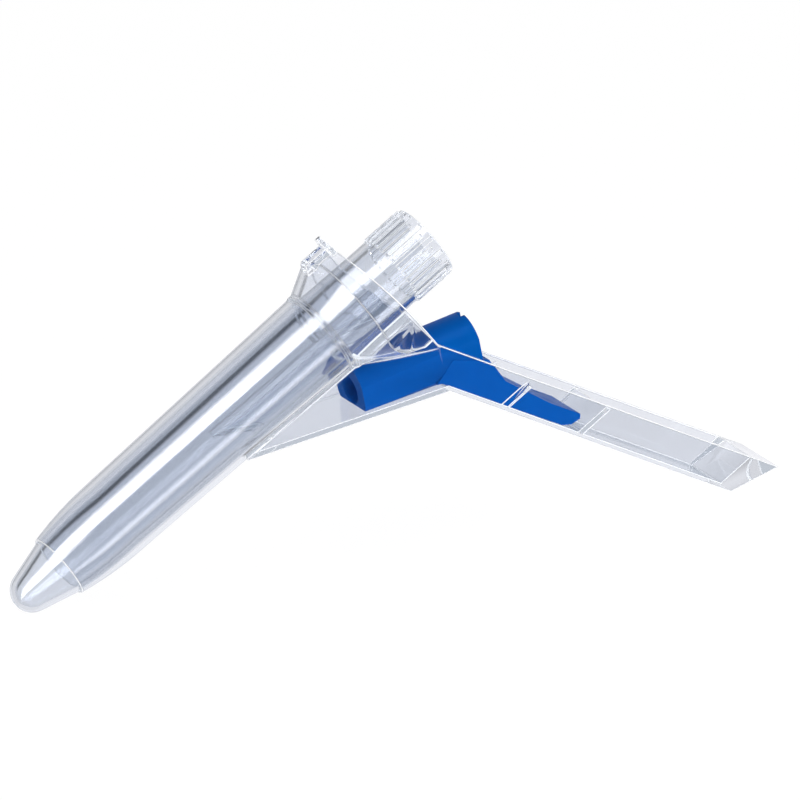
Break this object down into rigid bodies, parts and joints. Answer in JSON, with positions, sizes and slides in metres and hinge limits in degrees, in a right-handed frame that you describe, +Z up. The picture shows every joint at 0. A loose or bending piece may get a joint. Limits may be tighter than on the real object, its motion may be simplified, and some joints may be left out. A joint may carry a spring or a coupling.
{
  "type": "proctoscope",
  "caption": "Clear plastic proctoscope with flared rim and hollow handle, its round-nosed obturator in place, and a blue light holder in the handle.",
  "frame": {"origin": "middle of the footprint, on the surface that the nose and the end of the handle rest on", "axes": "+X from the nose towards the end of the handle, +Z up, +Y to the side; the XZ plane is the mirror plane"},
  "size_m": [0.2136, 0.0334, 0.0869],
  "materials": {
    "clear_plastic": "gloss",
    "blue_plastic": "satin"
  },
  "bodies": {
    "speculum": {"speculum": "clear_plastic"},
    "obturator": {"obturator": "clear_plastic"},
    "light_holder": {"light_holder": "blue_plastic"}
  },
  "joints": [
    {"name": "obturator_slide", "type": "slide", "parent": "speculum", "child": "obturator", "axis": [0.8371, 0, 0.547], "range_m": [0, 0.15]},
    {"name": "light_holder_slide", "type": "slide", "parent": "speculum", "child": "light_holder", "axis": [0.9446, 0, 0.3282], "range_m": [0, 0.06]}
  ]
}
